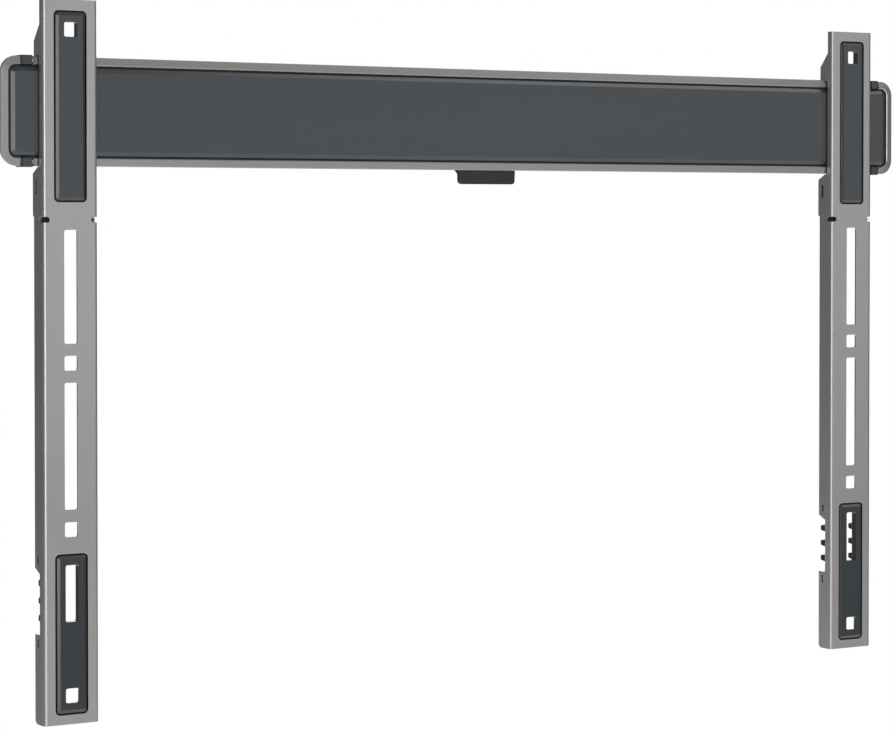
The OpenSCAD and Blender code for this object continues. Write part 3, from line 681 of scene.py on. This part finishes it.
class MOUNT_OT_latch_springs(bpy.types.Operator):
    """Wind the springs under the latches"""

    bl_idname = "mount.latch_springs"
    bl_label = "Latch springs"

    def execute(self, context):
        finish, detail = context.scene.mount_finish, context.scene.mount_detail
        steel = drawn_wire("spring_wire", finish.spring_steel)
        for side in SIDES:
            node = f"{side}_latch_spring"
            low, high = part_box(node)
            piece = wound_spring(f"{node}_wound", low, high, detail)
            piece.data.materials.append(steel)
            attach(piece, f"{side}_arm")
            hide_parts(node)
            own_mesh(piece)
        return {"FINISHED"}


def floor_material(glow):
    """Paper that the camera, metal and glass see as near white, and that is clear from below"""
    material = bpy.data.materials.new("floor_paper")
    material.use_nodes = True
    material.node_tree.nodes.clear()
    shader = Shader(material.node_tree)
    path = shader.node("ShaderNodeLightPath").outputs
    direct = shader.math("MAXIMUM", path["Is Camera Ray"], path["Is Transmission Ray"])
    looking = shader.math("MAXIMUM", direct, path["Is Glossy Ray"])
    unseen = shader.node("ShaderNodeEmission", {"Strength": 0.0})
    seen = shader.node("ShaderNodeEmission", {"Color": WHITE, "Strength": glow})
    paper = shader.node("ShaderNodeBsdfDiffuse", {"Color": FLOOR_PAPER})
    both = shader.node("ShaderNodeAddShader")
    shader.link(paper.outputs[0], both.inputs[0])
    shader.link(shader.mix_shader(looking, unseen, seen).outputs[0], both.inputs[1])
    below = shader.node("ShaderNodeNewGeometry").outputs["Backfacing"]
    clear = shader.node("ShaderNodeBsdfTransparent")
    output = shader.node("ShaderNodeOutputMaterial")
    shader.link(shader.mix_shader(below, both, clear).outputs[0], output.inputs["Surface"])
    return material


def soft_lamp(name, place, width, height, power):
    """A large rectangular lamp aimed at the mount"""
    light = bpy.data.lights.new(name, "AREA")
    light.shape = "RECTANGLE"
    light.size = width
    light.size_y = height
    light.energy = power
    lamp = bpy.data.objects.new(name, light)
    aim = Vector(LAMP_TARGET) - Vector(place)
    lamp.location = place
    lamp.rotation_euler = aim.to_track_quat("-Z", "Y").to_euler()
    lamp.visible_camera = False
    bpy.context.scene.collection.objects.link(lamp)


class MOUNT_OT_stage(bpy.types.Operator):
    """Set up the floor, the lamps, the world and the camera"""

    bl_idname = "mount.stage"
    bl_label = "Stage"

    def execute(self, context):
        stage = context.scene.mount_stage
        self.add_floor(context, stage)
        self.add_lamps(stage)
        self.add_world(context, stage)
        self.add_camera(context, stage)
        return {"FINISHED"}

    def add_floor(self, context, stage):
        half = stage.floor_half
        corners = ((-1, -1), (1, -1), (1, 1), (-1, 1))
        mesh = bpy.data.meshes.new("floor")
        mesh.from_pydata(
            [(x * half, y * half, -stage.floor_level) for x, y in corners], [], [(0, 1, 2, 3)])
        floor = bpy.data.objects.new("floor", mesh)
        context.scene.collection.objects.link(floor)
        floor.data.materials.append(floor_material(stage.floor_glow))

    def add_lamps(self, stage):
        for name, place, width, height, power, share in LAMPS:
            soft_lamp(name, place, width, height, getattr(stage, power) * share)

    def add_world(self, context, stage):
        world = bpy.data.worlds.new("studio")
        context.scene.world = world
        world.use_nodes = True
        world.node_tree.nodes.clear()
        shader = Shader(world.node_tree)
        surround, mirrored, seen = (
            shader.node("ShaderNodeBackground", {"Color": WHITE, "Strength": strength})
            for strength in (stage.world_level, stage.mirror_level, 1.0))
        path = shader.node("ShaderNodeLightPath").outputs
        direct = shader.math("MAXIMUM", path["Is Camera Ray"], path["Is Transmission Ray"])
        around = shader.mix_shader(path["Is Glossy Ray"], surround, mirrored)
        output = shader.node("ShaderNodeOutputWorld")
        shader.link(shader.mix_shader(direct, around, seen).outputs[0], output.inputs["Surface"])

    def add_camera(self, context, stage):
        data = bpy.data.cameras.new("photo_camera")
        data.sensor_width = SENSOR_WIDTH
        data.lens = stage.focal_pixels / PHOTO_WIDTH * SENSOR_WIDTH
        data.shift_y = (stage.axis_row - PHOTO_HEIGHT / 2) / PHOTO_WIDTH
        data.clip_start = 0.05
        data.clip_end = 60.0
        camera = bpy.data.objects.new("photo_camera", data)
        camera.location = stage.camera_place
        camera.rotation_euler = (math.pi / 2 + stage.camera_pitch, 0.0, -stage.camera_turn)
        context.scene.collection.objects.link(camera)
        context.scene.camera = camera
        context.scene.view_settings.view_transform = "Standard"


class MOUNT_PT_panel(bpy.types.Panel):
    """Lists the mount's pieces and settings"""

    bl_idname = "MOUNT_PT_panel"
    bl_label = "Mount"
    bl_space_type = "VIEW_3D"
    bl_region_type = "UI"
    bl_category = "Mount"

    def draw(self, context):
        layout = self.layout
        for operator in OPERATORS:
            layout.operator(operator.bl_idname)
        for name, _ in GROUPS:
            group = getattr(context.scene, name)
            box = layout.box()
            for setting in group.__annotations__:
                box.prop(group, setting)


OPERATORS = (
    MOUNT_OT_rail_plate, MOUNT_OT_rail_channel, MOUNT_OT_rail_cover, MOUNT_OT_end_stops,
    MOUNT_OT_centre_tab, MOUNT_OT_arms, MOUNT_OT_inserts, MOUNT_OT_black_mouldings,
    MOUNT_OT_latches, MOUNT_OT_latch_springs, MOUNT_OT_stage,
)
GROUPS = (
    ("mount_finish", MountFinish), ("mount_detail", MountDetail), ("mount_stage", MountStage),
)


def register():
    for name, group in GROUPS:
        bpy.utils.register_class(group)
        setattr(bpy.types.Scene, name, bpy.props.PointerProperty(type=group))
    for operator in OPERATORS:
        bpy.utils.register_class(operator)
    bpy.utils.register_class(MOUNT_PT_panel)


def unregister():
    bpy.utils.unregister_class(MOUNT_PT_panel)
    for operator in reversed(OPERATORS):
        bpy.utils.unregister_class(operator)
    for name, group in reversed(GROUPS):
        delattr(bpy.types.Scene, name)
        bpy.utils.unregister_class(group)


def main():
    register()
    bpy.ops.mount.rail_plate()
    bpy.ops.mount.rail_channel()
    bpy.ops.mount.rail_cover()
    bpy.ops.mount.end_stops()
    bpy.ops.mount.centre_tab()
    bpy.ops.mount.arms()
    bpy.ops.mount.inserts()
    bpy.ops.mount.black_mouldings()
    bpy.ops.mount.latches()
    bpy.ops.mount.latch_springs()
    bpy.ops.mount.stage()


if __name__ == "__main__":
    main()
